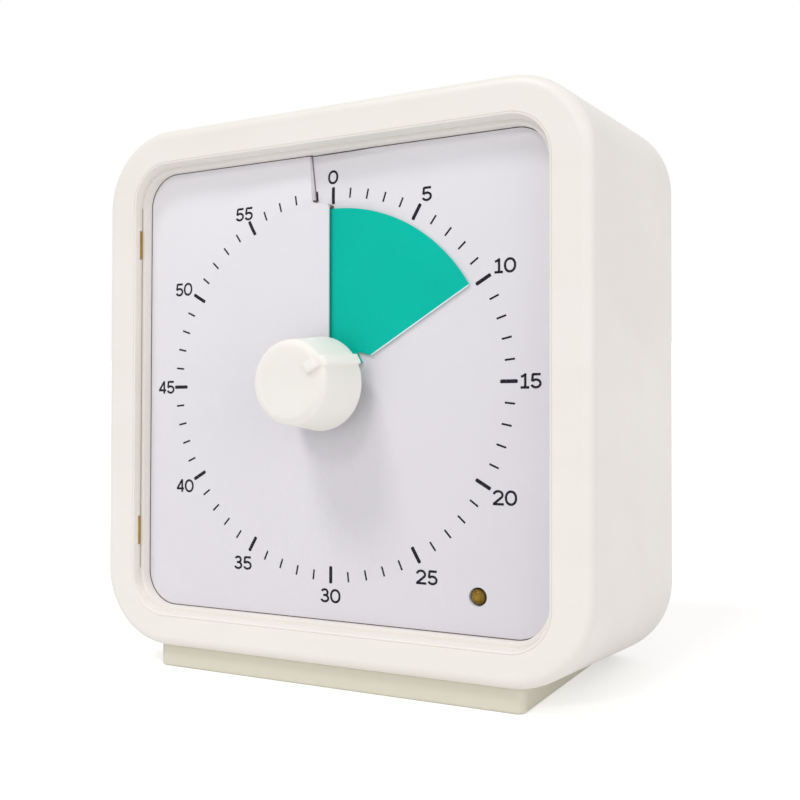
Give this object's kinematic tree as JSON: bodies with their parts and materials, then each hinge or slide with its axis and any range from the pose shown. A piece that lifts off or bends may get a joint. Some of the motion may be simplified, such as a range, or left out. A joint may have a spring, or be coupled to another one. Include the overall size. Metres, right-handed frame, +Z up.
{
  "type": "visual countdown timer",
  "caption": "Square desk timer that leans back on a wedge foot, with a knob that winds a coloured disc out of a slit in its 60-minute dial.",
  "frame": {"origin": "centre of the underside of the foot, on the surface that the timer stands on", "axes": "+Z up, -Y the way the dial faces, +X to the right of someone reading the dial; the case leans back 5.4 degrees"},
  "size_m": [0.166, 0.0976, 0.1723],
  "materials": {
    "shell_plastic": "smooth satin, warm off-white",
    "foot_rubber": "matt, pale beige",
    "lens_clear": "clear, polished",
    "dial_print": "matt white card with printed scale",
    "plate_plastic": "moulded, plain",
    "disc_colour": "teal green sheet, satin",
    "steel": "bright zinc-plated steel",
    "brass": "machined brass",
    "copper": "enamelled copper wire",
    "movement_plastic": "black moulded",
    "board_green": "green solder mask",
    "part_black": "black moulded",
    "cell_wrap": "printed sleeve on a metal can",
    "led_amber": "tinted, translucent",
    "lead_insulation": "coloured insulation"
  },
  "bodies": {
    "case": {"rear_shell": "shell_plastic", "front_bezel": "shell_plastic", "case_screws": "steel", "foot": "foot_rubber", "lens": "lens_clear", "dial_card": "dial_print", "dial_plate": "plate_plastic", "dial_plate_screws": "steel", "movement_base": "movement_plastic", "movement_cover": "movement_plastic", "movement_screws": "steel", "stator": "steel", "coil_core": "steel", "coil": "copper", "batteries": "cell_wrap", "battery_springs": "steel", "link_contact": "steel", "positive_contact": "steel", "negative_contact": "steel", "main_board": "board_green", "board_parts": "part_black", "board_screws": "steel", "switch_body": "part_black", "buzzer": "part_black", "led": "led_amber", "led_board": "board_green", "led_board_screw": "steel", "battery_leads": "lead_insulation", "led_leads": "lead_insulation", "coil_leads": "lead_insulation", "buzzer_leads": "lead_insulation"},
    "setting_knob": {"knob": "shell_plastic", "spindle": "steel", "spindle_clip": "steel", "clutch_spring": "steel"},
    "disc": {"disc_hub": "disc_colour", "colour_disc": "disc_colour"},
    "centre_wheel_body": {"centre_wheel": "brass"},
    "third_wheel_body": {"third_wheel": "brass"},
    "second_wheel_body": {"second_wheel": "brass"},
    "first_wheel_body": {"first_wheel": "brass"},
    "rotor_body": {"rotor": "steel"},
    "sound_switch": {"switch_slider": "part_black"},
    "door": {"battery_door": "shell_plastic", "door_screw": "steel"}
  },
  "joints": [
    {"name": "knob_turn", "type": "hinge", "parent": "case", "child": "setting_knob", "pos_m": [0, -0.01965, 0.08928], "axis": [0, 0.9956, -0.0941], "range_deg": [-59, 299]},
    {"name": "disc_lift", "type": "slide", "parent": "setting_knob", "child": "disc", "axis": [0, -0.9956, 0.0941], "range_m": [-0.00049, 0.00249]},
    {"name": "rotor_turn", "type": "hinge", "parent": "case", "child": "rotor_body", "pos_m": [-0.01686, -0.00891, 0.09661], "axis": [0, 0.9956, -0.0941], "continuous": true},
    {"name": "first_wheel_turn", "type": "hinge", "parent": "case", "child": "first_wheel_body", "pos_m": [-0.00826, -0.00834, 0.10261], "axis": [0, 0.9956, -0.0941], "continuous": true},
    {"name": "second_wheel_turn", "type": "hinge", "parent": "case", "child": "second_wheel_body", "pos_m": [0.00224, -0.00834, 0.10261], "axis": [0, 0.9956, -0.0941], "continuous": true},
    {"name": "third_wheel_turn", "type": "hinge", "parent": "case", "child": "third_wheel_body", "pos_m": [0.01103, -0.00882, 0.09755], "axis": [0, 0.9956, -0.0941], "continuous": true},
    {"name": "centre_wheel_turn", "type": "hinge", "parent": "case", "child": "centre_wheel_body", "pos_m": [0, -0.00969, 0.08834], "axis": [0, 0.9956, -0.0941], "continuous": true},
    {"name": "switch_slide", "type": "slide", "parent": "case", "child": "sound_switch", "axis": [1, 0, 0], "range_m": [0, 0.005]},
    {"name": "door_pull", "type": "slide", "parent": "case", "child": "door", "axis": [0, 0.9956, -0.0941], "range_m": [0, 0.03]}
  ],
  "couplings": [
    {"joint": "disc_lift", "follows": "knob_turn", "m_per_rad": 0.00047746},
    {"joint": "first_wheel_turn", "follows": "rotor_turn", "ratio": -0.16667},
    {"joint": "second_wheel_turn", "follows": "rotor_turn", "ratio": 0.027778},
    {"joint": "third_wheel_turn", "follows": "rotor_turn", "ratio": -0.0044444},
    {"joint": "centre_wheel_turn", "follows": "rotor_turn", "ratio": 0.00055556}
  ]
}
